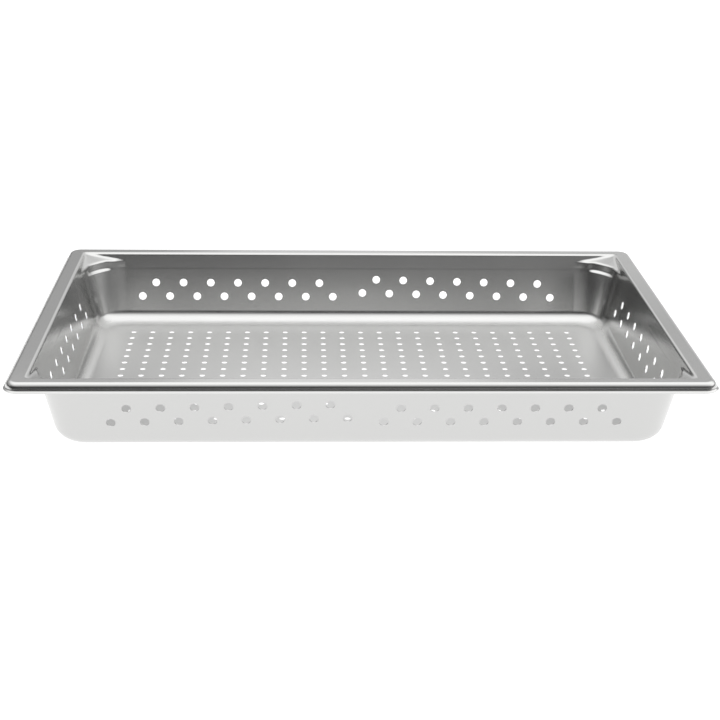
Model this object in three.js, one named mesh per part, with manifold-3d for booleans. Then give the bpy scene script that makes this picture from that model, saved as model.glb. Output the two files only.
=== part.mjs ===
// A full-size perforated steam pan, 2 1/2 inches deep, drawn and punched from one sheet of stainless steel.
// Units are millimetres. The pan stands on z = 0, its length runs along x, and its middle is at x = y = 0.
import * as THREE from "three";
import { mergeGeometries, mergeVertices } from "three/addons/utils/BufferGeometryUtils.js";
import Module from "manifold-3d";

// Overall size, over the lip of the rim
const LENGTH = 530;
const WIDTH = 323.85;
const HEIGHT = 63.5;
const SHEET = 0.8;

// The well. Its corners turn about four upright axes, and every radius below is measured from them.
const CORNER_X = 209.5;
const CORNER_Y = 108.5;
const WALL_DRAFT = 0.222; // how far the wall leans out for each millimetre it rises
const WALL_RADIUS = 31.33; // the inner face of the wall, at WALL_LEVEL
const WALL_LEVEL = 30;
const FLOOR_FILLET = 13.3; // between the floor and the wall, on the inside
const FILLET_STEPS = 3;

// The stacking shoulder, a small step outward near the top of the wall in each corner
const SHOULDER_LEVEL = 48.3;
const SHOULDER_RISE = 1.8;
const SHOULDER_STEP = 1;

// The rim and its four sunk corner ramps
const RAMP_LEVEL = 57; // the height of the arc where a ramp meets the well
const RAMP_FOOT = [{ out: 1, up: 0.25 }, { out: 2, up: 0.6 }]; // how the ramp curves up from that arc
const RIM_INNER_RADIUS = 40.6; // where the flat of the rim begins
const RIM_BEND_RADIUS = 2.28; // the bend between the wall and the flat of the rim
const RIM_CORNER_INNER = 1; // the nearly sharp inner corner of the flat of the rim
const RIM_CORNER = 12.5; // plan radius of the rim's corners, over the lip
const FLAT_EDGE = 6.425; // from the lip in to where the flat of the rim ends
const ROLL_RADIUS = 4.5; // the rounded outer edge of the rim
const FACE_DROP = 0.3; // the short upright face between the rolled edge and the lip
const LIP_BEND_RADIUS = 1.1;
const LIP_TURN = 75; // degrees that the lip turns outward from upright

// Round holes, each drawn as a prism of the same area
const FLOOR_HOLE = 5;
const FLOOR_HOLE_SIDES = 4;
const FLOOR_COLUMNS = 24;
const FLOOR_ROWS = 16;
const FLOOR_PITCH_X = 17.35;
const FLOOR_PITCH_Y = 14.5;
const FLOOR_CENTRE = { x: -1.2, y: -3.8 };
const COLUMNS_IN_A_STRIKE = 8; // the floor is punched eight columns at a time
const STRIKE_SHIFTS = [-0.2, 0, 1.4]; // how far each strike sits off the even grid

const WALL_HOLE = 7.1;
const WALL_HOLE_SIDES = 6;
const WALL_PITCH = 25.4;
const WALL_ROW_RISE = 12.5;
const LOWER_ROW = 8;
const UPPER_ROW = 7;

// The middle of each group's lower row, as a distance along its wall and a height, and its tilt in degrees
const BACK_GROUPS = [
  { along: -106.5, level: 23.6, tilt: -0.1 },
  { along: 99.1, level: 25, tilt: -1.3 },
];
const FRONT_GROUPS = [
  { along: -100.8, level: 25.2, tilt: 1.3 },
  { along: 104.5, level: 23.7, tilt: 0 },
];
const RIGHT_GROUPS = [{ along: 1.2, level: 24.3, tilt: 0.7 }];
const LEFT_GROUPS = [{ along: -5.3, level: 24.9, tilt: 0 }];

const FLOOR_PUNCH_LENGTH = 5;
const WALL_PUNCH_LENGTH = 6.5;
const MERGE_DISTANCE = 1e-4;
const CORNER_STEPS = 4;
const CORNER_SIGNS = [[1, 1], [1, -1], [-1, -1], [-1, 1]]; // the four corners, clockwise seen from above
const STEEL = { color: 0xb9b9b7, metalness: 1, roughness: 0.32 };

const wasm = await Module();
wasm.setup();

function wallRadius(level) {
  return WALL_RADIUS + WALL_DRAFT * (level - WALL_LEVEL);
}

// A point of the section: the ring it belongs to, its radius on that ring and its height.
function sectionPoint(ring, radius, level) {
  return { ring, radius, level };
}

// The inside of the well from the edge of the flat floor up to the ramps, as points of the section.
function wellSection(shoulder) {
  const lean = Math.atan(WALL_DRAFT);
  const sweep = Math.PI / 2 - lean;
  const floorEdge = wallRadius(SHEET) - FLOOR_FILLET * Math.tan(sweep / 2);
  const points = [];
  for (let i = 0; i <= FILLET_STEPS; i++) {
    const turn = (sweep * i) / FILLET_STEPS;
    const radius = floorEdge + FLOOR_FILLET * Math.sin(turn);
    points.push(sectionPoint("well", radius, SHEET + FLOOR_FILLET * (1 - Math.cos(turn))));
  }
  const stepTop = SHOULDER_LEVEL + SHOULDER_RISE;
  points.push(sectionPoint("well", wallRadius(SHOULDER_LEVEL), SHOULDER_LEVEL));
  points.push(sectionPoint("well", wallRadius(stepTop) + shoulder, stepTop));
  points.push(sectionPoint("well", wallRadius(RAMP_LEVEL) + shoulder, RAMP_LEVEL));
  return points;
}

// From the top of the well to the flat of the rim, up the wall.
function straightRise() {
  const sweep = Math.PI / 2 - Math.atan(WALL_DRAFT);
  return [sweep, sweep / 2, 0].map((turn) => {
    const radius = RIM_INNER_RADIUS - RIM_BEND_RADIUS * Math.sin(turn);
    return sectionPoint("well", radius, HEIGHT - RIM_BEND_RADIUS * (1 - Math.cos(turn)));
  });
}

// The same in a corner, where the sunk ramp climbs to the inner corner of the rim's flat.
function rampRise(shoulder) {
  const edge = wallRadius(RAMP_LEVEL) + shoulder;
  const foot = RAMP_FOOT.map(({ out, up }) => sectionPoint("well", edge + out, RAMP_LEVEL + up));
  return [...foot, sectionPoint("rim corner", RIM_CORNER_INNER, HEIGHT)];
}

// The flat of the rim, its rolled edge and its lip. Radii are measured inward from the lip.
function rimSection() {
  const rollStart = RIM_CORNER - FLAT_EDGE;
  const points = [0, 45, 90].map((degrees) => {
    const turn = THREE.MathUtils.degToRad(degrees);
    const level = HEIGHT - ROLL_RADIUS * (1 - Math.cos(turn));
    return sectionPoint("lip corner", rollStart + ROLL_RADIUS * Math.sin(turn), level);
  });
  const foot = HEIGHT - ROLL_RADIUS - FACE_DROP;
  for (const share of [0, 0.5, 1]) {
    const turn = THREE.MathUtils.degToRad(LIP_TURN * share);
    const radius = rollStart + ROLL_RADIUS + LIP_BEND_RADIUS * (1 - Math.cos(turn));
    points.push(sectionPoint("lip corner", radius, foot - LIP_BEND_RADIUS * Math.sin(turn)));
  }
  const bent = points[points.length - 1];
  const fall = (RIM_CORNER - bent.radius) / Math.tan(THREE.MathUtils.degToRad(LIP_TURN));
  return [...points, sectionPoint("lip corner", RIM_CORNER, bent.level - fall)];
}

// Where the turning axis of each ring lies in the corner with positive x and y.
function ringAxis(ring) {
  if (ring === "well") return { x: CORNER_X, y: CORNER_Y };
  if (ring === "lip corner") return { x: LENGTH / 2 - RIM_CORNER, y: WIDTH / 2 - RIM_CORNER };
  const back = RIM_INNER_RADIUS - RIM_CORNER_INNER;
  return { x: CORNER_X + back, y: CORNER_Y + back };
}

// A place on the outline of one corner: how far it has turned from the y side to the x side, and whether
// the section there climbs a ramp. On the straights the rings keep the well's end points.
function placePoint(point, station) {
  const axis = ringAxis(point.ring);
  const turned = { x: Math.sin(station.turn), y: Math.cos(station.turn) };
  let x = axis.x + point.radius * turned.x;
  let y = axis.y + point.radius * turned.y;
  if (!station.ramp && station.turn === 0) x = CORNER_X;
  if (!station.ramp && station.turn > 0) y = CORNER_Y;
  return new THREE.Vector3(x, y, point.level);
}

// Moves each point of an open section one sheet thickness to its outer side, keeping the walls parallel.
function undersideOf(section, flat) {
  return section.map((point, i) => {
    const before = i === 0 ? { u: 1, v: 0 } : direction(flat[i - 1], flat[i]);
    const after = i === section.length - 1 ? before : direction(flat[i], flat[i + 1]);
    const u = before.u + after.u;
    const v = before.v + after.v;
    const scale = SHEET / ((u * u + v * v) / 2);
    return { ...point, radius: point.radius + v * scale, level: point.level - u * scale };
  });
}

function direction(from, to) {
  const length = Math.hypot(to.u - from.u, to.v - from.v);
  return { u: (to.u - from.u) / length, v: (to.v - from.v) / length };
}

// The whole section at one station as 3D points: along the inside to the lip, then back underneath.
function stationPoints(station) {
  const shoulder = station.shoulder ? SHOULDER_STEP : 0;
  const rise = station.ramp ? rampRise(shoulder) : straightRise();
  const section = [...wellSection(shoulder), ...rise, ...rimSection()];
  const flat = section.map((point) => {
    const placed = placePoint(point, { turn: 0, ramp: station.ramp });
    return { u: placed.y, v: placed.z };
  });
  const under = undersideOf(section, flat);
  const top = section.map((point) => placePoint(point, station));
  return [...top, ...under.map((point) => placePoint(point, station)).reverse()];
}

// The ramp runs all the way round a corner, and the shoulder fades out at its two ends.
function cornerStations() {
  const stations = [{ turn: 0, ramp: false, shoulder: false }];
  for (let i = 0; i <= CORNER_STEPS; i++) {
    const shoulder = i > 0 && i < CORNER_STEPS;
    stations.push({ turn: (Math.PI / 2) * (i / CORNER_STEPS), ramp: true, shoulder });
  }
  stations.push({ turn: Math.PI / 2, ramp: false, shoulder: false });
  return stations;
}

// Every station around the pan, clockwise seen from above: each corner is the first one mirrored.
function allStations() {
  const corner = cornerStations().map(stationPoints);
  return CORNER_SIGNS.flatMap(([sx, sy]) => {
    const mirrored = corner.map((points) => points.map((p) => new THREE.Vector3(p.x * sx, p.y * sy, p.z)));
    return sx * sy > 0 ? mirrored : mirrored.reverse();
  });
}

// The sheet before punching: quads between neighbouring stations, and the flat floor inside them.
function sheetGeometry() {
  const stations = allStations();
  const count = stations[0].length;
  const faces = [];
  stations.forEach((here, s) => {
    const next = stations[(s + 1) % stations.length];
    for (let i = 0; i < count - 1; i++) pushQuad(faces, here[i], next[i], next[i + 1], here[i + 1]);
  });
  pushFloor(faces, stations.map((points) => points[0]), SHEET, false);
  pushFloor(faces, stations.map((points) => points[count - 1]), 0, true);
  const geometry = new THREE.BufferGeometry().setFromPoints(faces);
  return withoutFlatFaces(mergeVertices(geometry, MERGE_DISTANCE));
}

function pushQuad(faces, a, b, c, d) {
  faces.push(a, b, c, a, c, d);
}

// One side of the floor: a rectangle between the four corner axes, a strip along each straight of its edge,
// and a fan from each axis to its rounded corner.
function pushFloor(faces, edge, level, down) {
  const perCorner = edge.length / CORNER_SIGNS.length;
  const axes = CORNER_SIGNS.map(([sx, sy]) => new THREE.Vector3(CORNER_X * sx, CORNER_Y * sy, level));
  const found = [];
  axes.forEach((axis, k) => {
    const first = k * perCorner;
    const last = first + perCorner - 1;
    for (let i = first; i < last; i++) found.push(axis, edge[i + 1], edge[i]);
    pushQuad(found, axis, axes[(k + 1) % axes.length], edge[(last + 1) % edge.length], edge[last]);
  });
  pushQuad(found, axes[3], axes[2], axes[1], axes[0]);
  faces.push(...(down ? found.reverse() : found));
}

// Drops the faces that closed up where two stations share a point.
function withoutFlatFaces(geometry) {
  const index = geometry.index.array;
  const kept = [];
  for (let i = 0; i < index.length; i += 3) {
    const [a, b, c] = [index[i], index[i + 1], index[i + 2]];
    if (a !== b && b !== c && c !== a) kept.push(a, b, c);
  }
  geometry.setIndex(kept);
  return geometry;
}

// A closed geometry as a solid, and a solid as a geometry.
function toSolid(geometry) {
  const bare = geometry.clone();
  bare.deleteAttribute("normal");
  bare.deleteAttribute("uv");
  const merged = mergeVertices(bare, MERGE_DISTANCE);
  const vertProperties = new Float32Array(merged.attributes.position.array);
  const triVerts = new Uint32Array(merged.index.array);
  return new wasm.Manifold(new wasm.Mesh({ numProp: 3, vertProperties, triVerts }));
}

function toGeometry(solid) {
  const mesh = solid.getMesh();
  const geometry = new THREE.BufferGeometry();
  geometry.setAttribute("position", new THREE.BufferAttribute(mesh.vertProperties, mesh.numProp));
  geometry.setIndex(new THREE.BufferAttribute(mesh.triVerts, 1));
  return geometry.toNonIndexed();
}

// A prism along y with the same cross-section area as a round hole.
function punch(diameter, sides, length) {
  const turn = (2 * Math.PI) / sides;
  const radius = (diameter / 2) * Math.sqrt(turn / Math.sin(turn));
  return new THREE.CylinderGeometry(radius, radius, length, sides).rotateY(turn / 2);
}

function floorPunches() {
  const punches = [];
  for (let column = 0; column < FLOOR_COLUMNS; column++) {
    const strike = Math.floor(column / COLUMNS_IN_A_STRIKE);
    const fromMiddle = column - (FLOOR_COLUMNS - 1) / 2;
    const x = FLOOR_CENTRE.x + FLOOR_PITCH_X * fromMiddle + STRIKE_SHIFTS[strike];
    for (let row = 0; row < FLOOR_ROWS; row++) {
      const y = FLOOR_CENTRE.y + FLOOR_PITCH_Y * (row - (FLOOR_ROWS - 1) / 2);
      const hole = punch(FLOOR_HOLE, FLOOR_HOLE_SIDES, FLOOR_PUNCH_LENGTH);
      punches.push(hole.rotateX(Math.PI / 2).translate(x, y, SHEET / 2));
    }
  }
  return punches;
}

// The holes of one group on the wall that faces +y, square to the wall, then turned to their own side.
function groupPunches(group, wallAxis, facing) {
  const punches = [];
  const tilt = THREE.MathUtils.degToRad(group.tilt);
  const rows = [
    { holes: LOWER_ROW, rise: 0 },
    { holes: UPPER_ROW, rise: WALL_ROW_RISE },
  ];
  for (const row of rows) {
    for (let i = 0; i < row.holes; i++) {
      const step = WALL_PITCH * (i - (row.holes - 1) / 2);
      const along = group.along + step * Math.cos(tilt) - row.rise * Math.sin(tilt);
      const level = group.level + step * Math.sin(tilt) + row.rise * Math.cos(tilt);
      const hole = punch(WALL_HOLE, WALL_HOLE_SIDES, WALL_PUNCH_LENGTH);
      hole.rotateX(-Math.atan(WALL_DRAFT));
      hole.translate(along, wallAxis + wallRadius(level), level);
      punches.push(hole.rotateZ(facing));
    }
  }
  return punches;
}

// Turning the wall that faces +y onto another side reverses "along" on the front and the right.
function wallPunches() {
  const walls = [
    { groups: BACK_GROUPS, axis: CORNER_Y, facing: 0, sign: 1 },
    { groups: FRONT_GROUPS, axis: CORNER_Y, facing: Math.PI, sign: -1 },
    { groups: RIGHT_GROUPS, axis: CORNER_X, facing: -Math.PI / 2, sign: -1 },
    { groups: LEFT_GROUPS, axis: CORNER_X, facing: Math.PI / 2, sign: 1 },
  ];
  return walls.flatMap((wall) => {
    const turned = wall.groups.map((group) => {
      return { ...group, along: group.along * wall.sign, tilt: group.tilt * wall.sign };
    });
    return turned.flatMap((group) => groupPunches(group, wall.axis, wall.facing));
  });
}

function punchedPan() {
  const holes = toSolid(mergeGeometries([...floorPunches(), ...wallPunches()]));
  const geometry = toGeometry(toSolid(sheetGeometry()).subtract(holes));
  geometry.computeVertexNormals();
  const mesh = new THREE.Mesh(geometry, new THREE.MeshStandardMaterial(STEEL));
  mesh.name = "perforated_pan";
  return mesh;
}

const pan = new THREE.Group();
pan.add(punchedPan());

export default pan;
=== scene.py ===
import math

import bpy
import numpy as np
from mathutils import Matrix, Vector


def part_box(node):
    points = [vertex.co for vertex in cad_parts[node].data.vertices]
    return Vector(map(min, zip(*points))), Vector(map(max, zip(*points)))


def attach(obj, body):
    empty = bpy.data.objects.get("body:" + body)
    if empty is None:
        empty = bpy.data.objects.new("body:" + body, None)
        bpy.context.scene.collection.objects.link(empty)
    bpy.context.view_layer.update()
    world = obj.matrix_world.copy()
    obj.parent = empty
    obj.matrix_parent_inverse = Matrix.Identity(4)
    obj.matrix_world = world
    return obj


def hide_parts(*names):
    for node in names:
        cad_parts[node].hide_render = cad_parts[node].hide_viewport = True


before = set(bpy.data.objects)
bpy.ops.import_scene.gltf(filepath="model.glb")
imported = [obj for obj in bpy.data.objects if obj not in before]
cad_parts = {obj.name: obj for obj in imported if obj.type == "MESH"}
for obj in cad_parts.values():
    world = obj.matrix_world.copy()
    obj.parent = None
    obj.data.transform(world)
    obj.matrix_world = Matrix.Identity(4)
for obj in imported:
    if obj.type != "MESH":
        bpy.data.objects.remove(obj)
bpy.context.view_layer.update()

MM = 0.001
LOW, HIGH = (np.array(corner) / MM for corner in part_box("perforated_pan"))
LENGTH, WIDTH, HEIGHT = HIGH - LOW

# The sheet and the well, in millimetres. Radii in the corners are measured from four upright axes.
SHEET = 0.8
AXIS_X = 209.5
AXIS_Y = 108.5
WALL_DRAFT = 0.222
WALL_RADIUS = 31.33
WALL_LEVEL = 30.0
FLOOR_FILLET = 13.3
FILLET_STEPS = 12
SHOULDER_LOW = 47.8  # the stacking shoulder, a step outward in each corner
SHOULDER_HIGH = 50.6
SHOULDER_STEP = 1.0
STRAIGHT_STEP = 0.04  # the little that is left of it along the straights
SHOULDER_STEPS = 8
SHOULDER_FROM = 20.0  # degrees round the corner from each straight where it begins
SHOULDER_FULL = 31.0
BAND_START = 52.0  # where the well ends and the surface of rim, walls and ramps takes over

# The rim, its corner ramps, its rolled edge and its lip
RAMP_LEVEL = 57.0
RAMP_RADIUS = 38.0
APEX_OFFSET = 40.6
RAMP_EDGE_RADIUS = 1.0
VALLEY_RADIUS = 1.3
RAMP_STEEPNESS = 0.97  # turns a height over the ramp into about a distance from it
RIM_BEND_RADIUS = 2.2
INNER_CORNER_RADIUS = 1.0
RIM_CORNER = 12.5
FLAT_EDGE = 6.425  # from the lip in to the start of the roll
ROLL_RADIUS = 4.5
ROLL_STEPS = 10
FACE_DROP = 0.0
LIP_BEND = 1.3
LIP_TURN = 60.0
LIP_STEPS = 5
EDGE_FADE_SHARE = 0.13  # of the way round a corner, over which its bends grow to their full radius
SMALLEST_FADE = 1e-3

# How finely a corner is divided
STATIONS_ALONG = 27
STATIONS_ROUND = 14
RISE_SAMPLES = 700
RISE_CROWDING = 1.6  # crowds the samples towards the well
RISE_POINTS = 32
TURN_WEIGHT = 3.0
SOLVE_BELOW = 8.0  # how far under the band the search for the surface starts
SOLVE_ABOVE = 1.0
SOLVE_HALVINGS = 34
SHARP_ANGLE = 50.0  # degrees between two faces where the shading breaks
FLAT_ANGLE = 0.4
NEAR_ANGLE = 44.0

FLOOR_HOLE = 5.0
FLOOR_HOLE_SIDES = 16
FLOOR_COLUMNS = 24
FLOOR_ROWS = 16
FLOOR_PITCH_X = 17.35
FLOOR_PITCH_Y = 14.5
FLOOR_CENTRE = (-1.2, -3.8)
COLUMNS_IN_A_STRIKE = 8
STRIKE_SHIFTS = (-0.2, 0.0, 1.4)
WALL_HOLE = 7.1
WALL_HOLE_SIDES = 20
WALL_PITCH = 25.4
WALL_ROW_RISE = 12.5
LOWER_ROW = 8
UPPER_ROW = 7
ROLLOVER = 0.1  # the rounding that the punch leaves round a hole on the inside
PUNCH_BELOW = -3.0
PUNCH_ABOVE = 2.0
ROLLOVER_PROFILE = ((0.0, -1.3), (0.25, -0.55), (0.95, 0.02))  # widening and height, in rollovers
PUNCH_FLARE = 1.4

# Each group of wall holes: which way the wall faces, the middle of its lower row and its tilt in degrees
WALL_GROUPS = (
    ("back", -106.5, 23.6, -0.1),
    ("back", 99.1, 25.0, -1.3),
    ("front", -100.8, 25.2, 1.3),
    ("front", 104.5, 23.7, 0.0),
    ("right", 1.2, 24.3, 0.7),
    ("left", -5.3, 24.9, 0.0),
)

# The steel, with lengths in metres
WALL_COLOUR = (0.565, 0.565, 0.559, 1.0)
# The floor's lighter grey is painted light: it makes the pan's floor look more brightly lit than the walls
PAINTED_LIGHT_FLOOR_COLOUR = (0.615, 0.615, 0.61, 1.0)
FLOOR_ROUGHNESS = 0.1  # how much rougher the floor is than the walls, which the draw has burnished
# The levels over which the floor's extra roughness and its painted-light colour fade out
BURNISH_AND_PAINTED_LIGHT_START, BURNISH_AND_PAINTED_LIGHT_END = 0.0008, 0.006
SMUDGE_ROUGHNESS = (0.19, 0.25)
GRAIN_ROUGHNESS = 0.02
EVEN = (1.0, 1.0, 1.0)
GRAIN_STRETCH = (1.0, 60.0, 60.0)
GRAIN_SCALE = 40.0
SMUDGE_SCALE = 14.0
WAVE_SCALE = 9.0
WAVE_BUMP = {"Strength": 0.25, "Distance": 0.001}
GRAIN_BUMP = {"Strength": 0.06, "Distance": 0.0002}
NOISE_LOW, NOISE_HIGH = 0.3, 0.7
GRAIN_DETAIL, SMUDGE_DETAIL, WAVE_DETAIL = 4.0, 3.0, 2.0
MIX_FIRST, MIX_SECOND, MIX_RESULT = 6, 7, 2  # a Mix node's sockets for colours

# The light, in metres: a diffuser over the pan, a dark card in front of it and a dim room
PANEL_LEVEL = 0.38
PANEL_FRONT = -0.65
PANEL_BACK = 2.0
PANEL_REACH = 1.3
PANEL_PEAK = 1.68
PANEL_GLOW = (
    (0.0, 0.07), (0.09, 0.25), (0.15, 0.75), (0.21, 1.0), (0.3, 0.98),
    (0.4, 0.7), (0.51, 0.6), (0.7, 0.56), (1.0, 0.5),
)
SIDE_SHARE_BACK = 0.55
SIDE_FADE_X = (0.12, 0.3)
SIDE_FADE_Y = (0.28, 0.42)
RIGHT_SHARE_BACK = 0.75  # how much of the dimming at the sides the back right is spared
RIGHT_FADE_X = (0.1, 0.3)
RIGHT_FADE_Y = (0.78, 0.95)
LEFT_SHARE_FRONT = 0.3
LEFT_SHARE_BACK = 0.88
LEFT_FADE_X = (-0.4, -0.75)
LEFT_FADE_Y = (0.2, 0.5)
STUDIO_FLOOR_REACH = 6.0
STUDIO_FLOOR_LEVEL = -0.0002
STUDIO_FLOOR_GREY = 0.05
STUDIO_FLOOR_ROUGHNESS = 0.9
FLOOR_GLOW = 1.22
CARD_SIDE = 3.0
CARD_FRONT = -4.0
CARD_EDGE = -0.27
CARD_LEVEL = 0.0006
CARD_GREY = 0.28
BACKDROP_SHARE = 2.2  # how much brighter the room is behind the pan than in front of it
BACKDROP_FADE_Y = (0.0, 0.6)
ROOM_GLOW = ((0.0, 0.38), (0.08, 0.32), (0.2, 0.15), (0.4, 0.06))
ROOM_FADE_X = (-0.5, 0.3)
ROOM_SHARE_LEFT, ROOM_SHARE_RIGHT = 0.2, 1.1

CAMERA_PLACE = (-0.04507, -1.08741, 0.46758)
CAMERA_PITCH = 22.513
CAMERA_YAW = 2.528
CAMERA_ROLL = 0.999
CAMERA_LENS = 69.2
SENSOR = 36.0


def wall_radius(level):
    return WALL_RADIUS + WALL_DRAFT * (level - WALL_LEVEL)


def smooth_step(t):
    t = np.clip(t, 0.0, 1.0)
    return t * t * (3.0 - 2.0 * t)


def shoulder_step(turn):
    """How far the shoulder stands out at an angle round a corner."""
    from_straight = min(math.degrees(turn), 90.0 - math.degrees(turn))
    share = float(smooth_step((from_straight - SHOULDER_FROM) / (SHOULDER_FULL - SHOULDER_FROM)))
    return STRAIGHT_STEP + (SHOULDER_STEP - STRAIGHT_STEP) * share


def well_section(step):
    """The inside of the well from the edge of the flat floor to the band, as (radius, level)."""
    lean = math.atan(WALL_DRAFT)
    sweep = math.pi / 2 - lean
    floor_edge = wall_radius(SHEET) - FLOOR_FILLET * math.tan(sweep / 2)
    points = []
    for i in range(FILLET_STEPS + 1):
        turn = sweep * i / FILLET_STEPS
        out = floor_edge + FLOOR_FILLET * math.sin(turn)
        points.append((out, SHEET + FLOOR_FILLET * (1 - math.cos(turn))))
    for i in range(SHOULDER_STEPS + 1):
        t = i / SHOULDER_STEPS
        level = SHOULDER_LOW + (SHOULDER_HIGH - SHOULDER_LOW) * t
        points.append((wall_radius(level) + step * float(smooth_step(t)), level))
    return points


def round_union(a, b, r):
    """Distances to two rising surfaces, joined with a concave fillet."""
    u = np.maximum(r - a, 0.0)
    v = np.maximum(r - b, 0.0)
    return np.maximum(r, np.minimum(a, b)) - np.hypot(u, v)


def round_cut(a, b, r):
    """Distances to two surfaces, the lower of them kept, with a rounded edge."""
    u = np.maximum(r + a, 0.0)
    v = np.maximum(r + b, 0.0)
    return np.minimum(-r, np.maximum(a, b)) + np.hypot(u, v)


def ramp_height(x, y):
    """A ruled plate from the level arc round the well up to the inner corner of the rim.
    x and y are measured from the corner axis."""
    ax = x - APEX_OFFSET
    ay = y - APEX_OFFSET
    far = np.maximum(np.hypot(ax, ay), 1e-6)
    along = (ax + ay) * APEX_OFFSET / far
    inside = 2 * APEX_OFFSET ** 2 - RAMP_RADIUS ** 2
    reach = -along - np.sqrt(np.maximum(along ** 2 - inside, 0.0))
    t = 1.0 - far / reach
    return RAMP_LEVEL + (HEIGHT - RAMP_LEVEL) * t


def wall_height(radius):
    return WALL_LEVEL + (radius - WALL_RADIUS) / WALL_DRAFT


def corner_surface(x, y, level, fade, step):
    """Below 0 under the sheet's upper face and above 0 over it. x, y are from the corner axis."""
    steep = WALL_DRAFT / math.hypot(1.0, WALL_DRAFT)
    long_side = (level - wall_height(y)) * steep
    short_side = (level - wall_height(x)) * steep
    sides = round_union(long_side, short_side, INNER_CORNER_RADIUS * fade)
    arc = (level - wall_height(np.hypot(x, y) - step)) * steep
    ramp = (level - ramp_height(x, y)) * RAMP_STEEPNESS
    well = round_cut(arc, ramp, RAMP_EDGE_RADIUS * fade)
    walls = round_union(sides, well, VALLEY_RADIUS * fade)
    return round_cut(walls, level - HEIGHT, RIM_BEND_RADIUS)


def solve_levels(x, y, fade, step):
    low = np.full_like(x, BAND_START - SOLVE_BELOW)
    high = np.full_like(x, HEIGHT + SOLVE_ABOVE)
    for _ in range(SOLVE_HALVINGS):
        middle = (low + high) / 2
        below = corner_surface(x, y, middle, fade, step) < 0
        low = np.where(below, middle, low)
        high = np.where(below, high, middle)
    return (low + high) / 2


def rise_points(start, end, fade, step):
    """The sheet's upper face from the band to the start of the roll, with more points where it bends."""
    t = np.linspace(0.0, 1.0, RISE_SAMPLES) ** RISE_CROWDING
    x = start[0] + (end[0] - start[0]) * t
    y = start[1] + (end[1] - start[1]) * t
    z = solve_levels(x, y, fade, step)
    path = np.stack([x, y, z], axis=1)
    legs = np.diff(path, axis=0)
    lengths = np.linalg.norm(legs, axis=1)
    ways = legs / lengths[:, None]
    cosines = np.clip((ways[1:] * ways[:-1]).sum(axis=1), -1.0, 1.0)
    turns = np.concatenate([[0.0], np.arccos(cosines)])
    measure = np.concatenate([[0.0], np.cumsum(lengths + TURN_WEIGHT * turns)])
    wanted = np.linspace(0.0, measure[-1], RISE_POINTS)
    return np.stack([np.interp(wanted, measure, path[:, k]) for k in range(3)], axis=1)


def rim_outline():
    """Where the roll starts round one corner, from the y side to the x side.
    Each place is (x, y, outward x, outward y)."""
    radius = RIM_CORNER - FLAT_EDGE
    cx = LENGTH / 2 - RIM_CORNER - AXIS_X
    cy = WIDTH / 2 - RIM_CORNER - AXIS_Y
    places = []
    for i in range(STATIONS_ALONG):
        places.append((cx * i / STATIONS_ALONG, cy + radius, 0.0, 1.0))
    for i in range(STATIONS_ROUND + 1):
        turn = math.pi / 2 * i / STATIONS_ROUND
        sx, sy = math.sin(turn), math.cos(turn)
        places.append((cx + radius * sx, cy + radius * sy, sx, sy))
    for i in range(1, STATIONS_ALONG + 1):
        places.append((cx + radius, cy * (1 - i / STATIONS_ALONG), 1.0, 0.0))
    return places


def edge_section():
    """The rolled edge and the lip, as (how far out from the start of the roll, level)."""
    points = []
    for i in range(1, ROLL_STEPS + 1):
        turn = math.pi / 2 * i / ROLL_STEPS
        points.append((ROLL_RADIUS * math.sin(turn), HEIGHT - ROLL_RADIUS * (1 - math.cos(turn))))
    foot = HEIGHT - ROLL_RADIUS - FACE_DROP
    for i in range(LIP_STEPS + 1):
        turn = math.radians(LIP_TURN) * i / LIP_STEPS
        points.append((ROLL_RADIUS + LIP_BEND * (1 - math.cos(turn)), foot - LIP_BEND * math.sin(turn)))
    out, level = points[-1]
    points.append((FLAT_EDGE, level - (FLAT_EDGE - out) / math.tan(math.radians(LIP_TURN))))
    return points


def corner_rows():
    """The upper face of one corner: a row of points for each station, from the floor's edge to the lip."""
    edge = edge_section()
    outline = rim_outline()
    rows = []
    for i, (ox, oy, nx, ny) in enumerate(outline):
        turn = math.pi / 2 * i / (len(outline) - 1)
        sx, sy = math.sin(turn), math.cos(turn)
        from_end = min(i, len(outline) - 1 - i) / (len(outline) - 1)
        fade = max(float(smooth_step(from_end / EDGE_FADE_SHARE)), SMALLEST_FADE)
        step = shoulder_step(turn)
        start = wall_radius(BAND_START) + step
        row = [(r * sx, r * sy, z) for r, z in well_section(step)]
        row += [tuple(p) for p in rise_points((start * sx, start * sy), (ox, oy), fade, step)]
        row += [(ox + out * nx, oy + out * ny, z) for out, z in edge]
        rows.append([(AXIS_X + x, AXIS_Y + y, z) for x, y, z in row])
    return np.array(rows)


def grid_lines(places, end):
    """Lines that part the floor's holes, from one corner axis to the other."""
    return np.array([-end] + [(low + high) / 2 for low, high in zip(places[:-1], places[1:])] + [end])


def between(first, last, places, k):
    """Stations along a straight, at the given places along axis k."""
    share = (places - first[0, k]) / (last[0, k] - first[0, k])
    return first + (last - first) * share[:, None, None]


def all_rows(lines_x, lines_y):
    """Every station round the pan, clockwise seen from above, and where each corner starts.
    Each corner is the first one mirrored. The straights between carry stations on the floor's grid."""
    corner = corner_rows()
    corners = []
    for sx, sy in ((1, 1), (1, -1), (-1, -1), (-1, 1)):
        mirrored = corner * np.array([sx, sy, 1.0])
        corners.append(mirrored if sx * sy > 0 else mirrored[::-1])
    lines = (lines_y[-2:0:-1], lines_x[-2:0:-1], lines_y[1:-1], lines_x[1:-1])
    parts, starts, count = [], [], 0
    for i, here in enumerate(corners):
        straight = between(here[-1], corners[(i + 1) % 4][0], lines[i], 1 if i % 2 == 0 else 0)
        starts.append(count)
        count += len(here) + len(straight)
        parts += [here, straight]
    return np.concatenate(parts), starts, len(corner)


def unit(v):
    return v / np.maximum(np.linalg.norm(v, axis=-1, keepdims=True), 1e-12)


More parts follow.
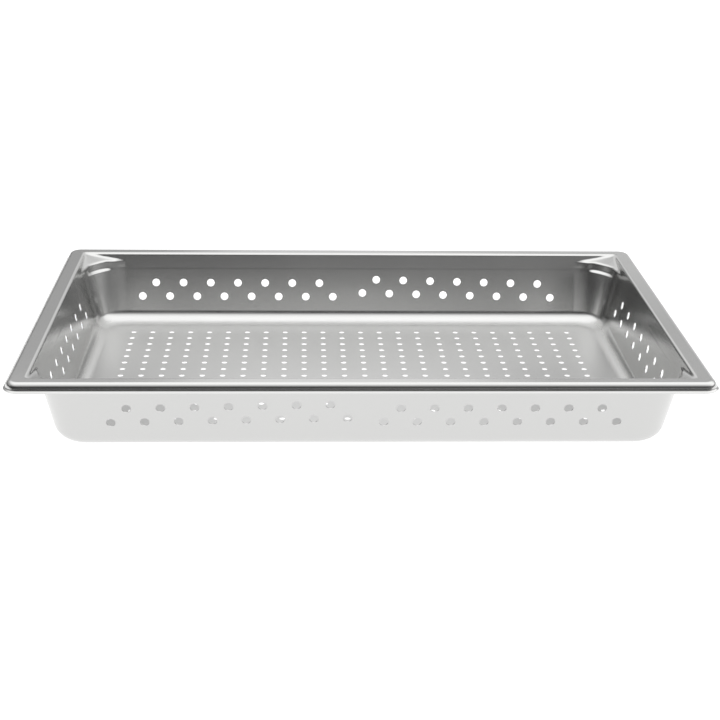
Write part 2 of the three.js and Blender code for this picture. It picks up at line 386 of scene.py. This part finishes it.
def lower_face(top):
    """The same points one sheet thickness away, on the outer side."""
    legs = unit(np.diff(top, axis=1))
    across = np.concatenate([legs[:, :1], legs[:, 1:] + legs[:, :-1], legs[:, -1:]], axis=1)
    steps = unit(np.roll(top, -1, axis=0) - top)
    around = steps + np.roll(steps, 1, axis=0)
    normal = unit(np.cross(around, across))
    normal[:, 0] = (0.0, 0.0, 1.0)
    return top - SHEET * normal


def floor_faces(ring, starts, corner_count, grid):
    """One side of the floor, facing up: a grid, a strip along each straight and a fan in each corner."""
    faces = [(grid[i, j], grid[i + 1, j], grid[i + 1, j + 1], grid[i, j + 1])
             for i in range(grid.shape[0] - 1) for j in range(grid.shape[1] - 1)]
    edges = (grid[-1, ::-1], grid[::-1, 0], grid[0, :], grid[:, -1])
    axes = (grid[-1, -1], grid[-1, 0], grid[0, 0], grid[0, -1])
    for k, start in enumerate(starts):
        for i in range(start, start + corner_count - 1):
            faces.append((axes[k], ring[i + 1], ring[i]))
        outer = [ring[(start + corner_count - 1 + i) % len(ring)] for i in range(len(edges[k]))]
        for i in range(len(outer) - 1):
            faces.append((edges[k][i], edges[k][i + 1], outer[i + 1], outer[i]))
    return faces


def sheet_mesh(name):
    lines_x = grid_lines(floor_columns(), AXIS_X)
    lines_y = grid_lines(floor_rows(), AXIS_Y)
    top, starts, corner_count = all_rows(lines_x, lines_y)
    bottom = lower_face(top)
    count, points = top.shape[:2]
    loop = np.concatenate([top, bottom[:, ::-1]], axis=1)
    width = 2 * points
    verts = [tuple(v) for v in loop.reshape(-1, 3)]
    faces = []
    for s in range(count):
        n = (s + 1) % count
        for i in range(width - 1):
            faces.append((s * width + i, n * width + i, n * width + i + 1, s * width + i + 1))
    shape = (len(lines_x), len(lines_y))
    for level, column in ((SHEET, 0), (0.0, width - 1)):
        grid = len(verts) + np.arange(shape[0] * shape[1]).reshape(shape)
        verts += [(x, y, level) for x in lines_x for y in lines_y]
        found = floor_faces([s * width + column for s in range(count)], starts, corner_count, grid)
        faces += found if level else [face[::-1] for face in found]
    mesh = bpy.data.meshes.new(name)
    metres = [tuple(c * MM for c in v) for v in verts]
    mesh.from_pydata(metres, [], [[int(i) for i in face] for face in faces])
    mesh.validate()
    mesh.update()
    return mesh


def punch_rings(radius):
    """A round punch along +z, as (radius, height), with the sheet's inner face at height 0."""
    rounded = [(radius + out * ROLLOVER, up * ROLLOVER) for out, up in ROLLOVER_PROFILE]
    return [(radius, PUNCH_BELOW), *rounded, (radius + PUNCH_FLARE * ROLLOVER, PUNCH_ABOVE)]


def add_punch(verts, faces, radius, sides, place):
    rings = punch_rings(radius)
    base = len(verts)
    for r, h in rings:
        for k in range(sides):
            turn = 2 * math.pi * (k + 0.5) / sides
            verts.append(place @ Vector((r * math.cos(turn), r * math.sin(turn), h)) * MM)
    for j in range(len(rings) - 1):
        for k in range(sides):
            n = (k + 1) % sides
            a = base + j * sides
            faces.append((a + k, a + n, a + n + sides, a + k + sides))
    faces.append([base + k for k in range(sides)][::-1])
    last = base + (len(rings) - 1) * sides
    faces.append([last + k for k in range(sides)])


def floor_columns():
    places = []
    for column in range(FLOOR_COLUMNS):
        shift = STRIKE_SHIFTS[column // COLUMNS_IN_A_STRIKE]
        places.append(FLOOR_CENTRE[0] + FLOOR_PITCH_X * (column - (FLOOR_COLUMNS - 1) / 2) + shift)
    return places


def floor_rows():
    return [FLOOR_CENTRE[1] + FLOOR_PITCH_Y * (row - (FLOOR_ROWS - 1) / 2) for row in range(FLOOR_ROWS)]


def floor_places():
    return [Matrix.Translation((x, y, SHEET)) for x in floor_columns() for y in floor_rows()]


def wall_places(side, along, level, tilt):
    """A frame on the wall for each hole: its z axis points into the well, square to the wall."""
    lean = math.atan(WALL_DRAFT)
    facing = {"back": 0.0, "front": math.pi, "right": -math.pi / 2, "left": math.pi / 2}[side]
    axis = AXIS_Y if side in ("back", "front") else AXIS_X
    sign = 1 if side in ("back", "left") else -1
    angle = math.radians(tilt * sign)
    for holes, rise in ((LOWER_ROW, 0.0), (UPPER_ROW, WALL_ROW_RISE)):
        for i in range(holes):
            step = WALL_PITCH * (i - (holes - 1) / 2)
            a = along * sign + step * math.cos(angle) - rise * math.sin(angle)
            z = level + step * math.sin(angle) + rise * math.cos(angle)
            upright = Matrix.Rotation(math.pi / 2 - lean, 4, "X")
            spot = Matrix.Translation((a, axis + wall_radius(z), z))
            yield Matrix.Rotation(facing, 4, "Z") @ spot @ upright


def punches_mesh():
    verts, faces = [], []
    for place in floor_places():
        add_punch(verts, faces, FLOOR_HOLE / 2, FLOOR_HOLE_SIDES, place)
    for group in WALL_GROUPS:
        for place in wall_places(*group):
            add_punch(verts, faces, WALL_HOLE / 2, WALL_HOLE_SIDES, place)
    mesh = bpy.data.meshes.new("punches")
    mesh.from_pydata([tuple(v) for v in verts], [], faces)
    mesh.update()
    return mesh


def new_object(name, mesh):
    piece = bpy.data.objects.new(name, mesh)
    bpy.context.scene.collection.objects.link(piece)
    return piece


def punched_pan():
    pan = new_object("pan_sheet", sheet_mesh("pan_sheet"))
    punches = new_object("punches", punches_mesh())
    cut = pan.modifiers.new("holes", "BOOLEAN")
    cut.operation = "DIFFERENCE"
    cut.solver = "MANIFOLD"
    cut.object = punches
    graph = bpy.context.evaluated_depsgraph_get()
    mesh = bpy.data.meshes.new_from_object(pan.evaluated_get(graph))
    pan.modifiers.clear()
    pan.data = mesh
    bpy.data.objects.remove(punches)
    smooth_with_flats(mesh)
    return pan


def flat_ways():
    """The ways that the flat parts of the sheet face: the floor and rim, and the four walls."""
    lean = math.atan(WALL_DRAFT)
    out, up = math.cos(lean), math.sin(lean)
    ways = [(0, 0, 1), (-out, 0, up), (out, 0, up), (0, -out, up), (0, out, up)]
    return np.array(ways + [tuple(-c for c in way) for way in ways], dtype=float)


def read_all(items, name, width, kind):
    """One attribute of every item of a mesh, as an array."""
    values = np.empty(len(items) * width, dtype=kind)
    items.foreach_get(name, values)
    return values.reshape(-1, width) if width > 1 else values


def smooth_with_flats(mesh):
    """Smooth shading, with each flat face and the loops that meet it kept at the flat's own normal."""
    mesh.shade_smooth()
    mesh.set_sharp_from_angle(angle=math.radians(SHARP_ANGLE))
    faces = read_all(mesh.polygons, "normal", 3, np.float32)
    owner = np.repeat(np.arange(len(faces)), read_all(mesh.polygons, "loop_total", 1, np.int32))
    corners = read_all(mesh.corner_normals, "vector", 3, np.float32)
    vertex = read_all(mesh.loops, "vertex_index", 1, np.int32)
    for way in flat_ways():
        flat = faces @ way > math.cos(math.radians(FLAT_ANGLE))
        touched = np.zeros(len(mesh.vertices), dtype=bool)
        touched[vertex[flat[owner]]] = True
        near = faces @ way > math.cos(math.radians(NEAR_ANGLE))
        corners[touched[vertex] & near[owner]] = way
    mesh.normals_split_custom_set(corners.tolist())


def nodes_of(name):
    material = bpy.data.materials.new(name)
    material.use_nodes = True
    tree = material.node_tree
    shader = tree.nodes["Principled BSDF"]
    return material, tree, shader


def add_node(tree, kind, inputs=None, **settings):
    node = tree.nodes.new(kind)
    for key, value in settings.items():
        setattr(node, key, value)
    for key, value in (inputs or {}).items():
        node.inputs[key].default_value = value
    return node


def stretched_noise(tree, coordinates, stretch, scale, detail):
    mapping = add_node(tree, "ShaderNodeMapping", {"Scale": stretch})
    noise = add_node(tree, "ShaderNodeTexNoise", {"Scale": scale, "Detail": detail})
    tree.links.new(coordinates, mapping.inputs["Vector"])
    tree.links.new(mapping.outputs["Vector"], noise.inputs["Vector"])
    return noise.outputs["Fac"]


def spread(tree, value, low, high):
    """The middle part of a noise's range, stretched from low to high."""
    limits = {"From Min": NOISE_LOW, "From Max": NOISE_HIGH, "To Min": low, "To Max": high}
    node = add_node(tree, "ShaderNodeMapRange", limits)
    tree.links.new(value, node.inputs["Value"])
    return node.outputs["Result"]


def maths(tree, operation, first, second=0.0):
    """A Math node on two values, each a socket or a number."""
    node = add_node(tree, "ShaderNodeMath", operation=operation)
    for value, socket in zip((first, second), node.inputs):
        if isinstance(value, (int, float)):
            socket.default_value = value
        else:
            tree.links.new(value, socket)
    return node.outputs[0]


def fade_between(tree, value, start, end, low, high):
    """A smooth change from low to high as the value goes from start to end."""
    node = add_node(tree, "ShaderNodeMapRange", interpolation_type="SMOOTHSTEP")
    for name, number in (("From Min", start), ("From Max", end), ("To Min", low), ("To Max", high)):
        node.inputs[name].default_value = number
    tree.links.new(value, node.inputs["Value"])
    return node.outputs["Result"]


def split_xyz(tree, vector):
    node = add_node(tree, "ShaderNodeSeparateXYZ")
    tree.links.new(vector, node.inputs[0])
    return node.outputs


def steel():
    material, tree, shader = nodes_of("satin_stainless")
    place = add_node(tree, "ShaderNodeTexCoord").outputs["Object"]
    grain = stretched_noise(tree, place, GRAIN_STRETCH, GRAIN_SCALE, GRAIN_DETAIL)
    smudges = stretched_noise(tree, place, EVEN, SMUDGE_SCALE, SMUDGE_DETAIL)
    fine_rough = spread(tree, grain, -GRAIN_ROUGHNESS, GRAIN_ROUGHNESS)
    rough = maths(tree, "ADD", fine_rough, spread(tree, smudges, *SMUDGE_ROUGHNESS))
    level = split_xyz(tree, place)["Z"]
    burnish = fade_between(tree, level, BURNISH_AND_PAINTED_LIGHT_START, BURNISH_AND_PAINTED_LIGHT_END, FLOOR_ROUGHNESS, 0.0)
    tree.links.new(maths(tree, "ADD", rough, burnish), shader.inputs["Roughness"])
    waves = stretched_noise(tree, place, EVEN, WAVE_SCALE, WAVE_DETAIL)
    bump = add_node(tree, "ShaderNodeBump", WAVE_BUMP)
    tree.links.new(waves, bump.inputs["Height"])
    fine = add_node(tree, "ShaderNodeBump", GRAIN_BUMP)
    tree.links.new(grain, fine.inputs["Height"])
    tree.links.new(bump.outputs["Normal"], fine.inputs["Normal"])
    tree.links.new(fine.outputs["Normal"], shader.inputs["Normal"])
    # Base colour: the walls' grey, going over to a lighter grey near the floor, which is painted light on
    # the pan's floor
    colour = add_node(tree, "ShaderNodeMix", data_type="RGBA")
    colour.inputs[MIX_FIRST].default_value = WALL_COLOUR
    colour.inputs[MIX_SECOND].default_value = PAINTED_LIGHT_FLOOR_COLOUR
    tree.links.new(fade_between(tree, level, BURNISH_AND_PAINTED_LIGHT_START, BURNISH_AND_PAINTED_LIGHT_END, 1.0, 0.0), colour.inputs[0])
    tree.links.new(colour.outputs[MIX_RESULT], shader.inputs["Base Color"])
    shader.inputs["Metallic"].default_value = 1.0
    return material


def grey(level):
    return (level, level, level, 1.0)


def make_floor():
    reach = STUDIO_FLOOR_REACH
    floor = flat_sheet("studio_floor", (-reach, -reach), (reach, reach), STUDIO_FLOOR_LEVEL)
    material, tree, shader = nodes_of("pale_floor")
    shader.inputs["Base Color"].default_value = grey(STUDIO_FLOOR_GREY)
    shader.inputs["Roughness"].default_value = STUDIO_FLOOR_ROUGHNESS
    shader.inputs["Emission Color"].default_value = grey(1.0)
    shader.inputs["Emission Strength"].default_value = FLOOR_GLOW
    floor.data.materials.append(material)


def grey_ramp(tree, value, stops):
    """A grey that follows the value from 0 to 1 through stops of (position, brightness)."""
    ramp = add_node(tree, "ShaderNodeValToRGB")
    tree.links.new(value, ramp.inputs["Fac"])
    elements = ramp.color_ramp.elements
    while len(elements) < len(stops):
        elements.new(0.5)
    for element, (position, brightness) in zip(elements, stops):
        element.position = position
        element.color = grey(brightness)
    return ramp.outputs["Color"]


def flat_sheet(name, low, high, level):
    """A rectangle facing up."""
    mesh = bpy.data.meshes.new(name)
    (x0, y0), (x1, y1) = low, high
    mesh.from_pydata([(x0, y0, 0.0), (x1, y0, 0.0), (x1, y1, 0.0), (x0, y1, 0.0)], [], [(0, 1, 2, 3)])
    sheet = new_object(name, mesh)
    sheet.location.z = level
    return sheet


def make_panel():
    """The big diffuser: brightest over the pan, dimmer behind it, in front of it and to the sides."""
    low, high = (-PANEL_REACH, PANEL_FRONT), (PANEL_REACH, PANEL_BACK)
    panel = flat_sheet("overhead_diffuser", low, high, PANEL_LEVEL)
    panel.visible_camera = False
    material = bpy.data.materials.new("diffuser")
    material.use_nodes = True
    tree = material.node_tree
    tree.nodes.clear()
    place = split_xyz(tree, add_node(tree, "ShaderNodeTexCoord").outputs["Object"])
    x, y = place["X"], place["Y"]
    along = maths(tree, "DIVIDE", maths(tree, "SUBTRACT", y, PANEL_FRONT), PANEL_BACK - PANEL_FRONT)
    glow = grey_ramp(tree, along, PANEL_GLOW)
    dim = fade_between(tree, y, *LEFT_FADE_Y, LEFT_SHARE_FRONT, LEFT_SHARE_BACK)
    leftness = fade_between(tree, x, *LEFT_FADE_X, 0.0, 1.0)
    left = maths(tree, "SUBTRACT", 1.0, maths(tree, "MULTIPLY", leftness, maths(tree, "SUBTRACT", 1.0, dim)))
    outward = fade_between(tree, maths(tree, "ABSOLUTE", x), *SIDE_FADE_X, 0.0, 1.0 - SIDE_SHARE_BACK)
    spared = maths(tree, "MULTIPLY", fade_between(tree, x, *RIGHT_FADE_X, 0.0, 1.0),
                   fade_between(tree, y, *RIGHT_FADE_Y, 0.0, RIGHT_SHARE_BACK))
    backward = maths(tree, "SUBTRACT", fade_between(tree, y, *SIDE_FADE_Y, 0.0, 1.0), spared)
    sides = maths(tree, "SUBTRACT", 1.0, maths(tree, "MULTIPLY", outward, backward))
    share = maths(tree, "MULTIPLY", left, sides)
    below = add_node(tree, "ShaderNodeNewGeometry").outputs["Backfacing"]
    strength = maths(tree, "MULTIPLY", maths(tree, "MULTIPLY", share, PANEL_PEAK), below)
    emission = add_node(tree, "ShaderNodeEmission")
    tree.links.new(glow, emission.inputs["Color"])
    tree.links.new(strength, emission.inputs["Strength"])
    output = add_node(tree, "ShaderNodeOutputMaterial")
    tree.links.new(emission.outputs[0], output.inputs["Surface"])
    panel.data.materials.append(material)


def make_card():
    """A dark card on the floor in front of the pan, which its rolled edge reflects."""
    card = flat_sheet("dark_card", (-CARD_SIDE, CARD_FRONT), (CARD_SIDE, CARD_EDGE), CARD_LEVEL)
    card.visible_camera = False
    material, tree, shader = nodes_of("dark_card")
    shader.inputs["Base Color"].default_value = grey(CARD_GREY)
    shader.inputs["Roughness"].default_value = 1.0
    shader.inputs["Specular IOR Level"].default_value = 0.0
    card.data.materials.append(material)


def make_world():
    """A dim room round the pan, brighter at the horizon, behind and on the right."""
    world = bpy.data.worlds.new("studio")
    bpy.context.scene.world = world
    world.use_nodes = True
    tree = world.node_tree
    background = tree.nodes["Background"]
    way = split_xyz(tree, add_node(tree, "ShaderNodeTexCoord").outputs["Generated"])
    tree.links.new(grey_ramp(tree, way["Z"], ROOM_GLOW), background.inputs["Color"])
    rightness = fade_between(tree, way["X"], *ROOM_FADE_X, ROOM_SHARE_LEFT, ROOM_SHARE_RIGHT)
    backness = fade_between(tree, way["Y"], *BACKDROP_FADE_Y, 1.0, BACKDROP_SHARE)
    tree.links.new(maths(tree, "MULTIPLY", rightness, backness), background.inputs["Strength"])


def make_camera():
    data = bpy.data.cameras.new("camera")
    data.lens = CAMERA_LENS
    data.sensor_width = SENSOR
    camera = bpy.data.objects.new("camera", data)
    bpy.context.scene.collection.objects.link(camera)
    camera.location = CAMERA_PLACE
    pitch, yaw, roll = (math.radians(a) for a in (CAMERA_PITCH, CAMERA_YAW, CAMERA_ROLL))
    turn, tip, lean = (Matrix.Rotation(angle, 4, axis) for angle, axis in
                       ((-yaw, "Z"), (math.pi / 2 - pitch, "X"), (roll, "Z")))
    camera.rotation_euler = (turn @ tip @ lean).to_euler()
    bpy.context.scene.camera = camera


make_camera()
make_floor()
make_world()
make_panel()
make_card()
bpy.context.scene.view_settings.view_transform = "Standard"

pan = punched_pan()
pan.data.materials.clear()
pan.data.materials.append(steel())
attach(pan, "root")
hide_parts("perforated_pan")
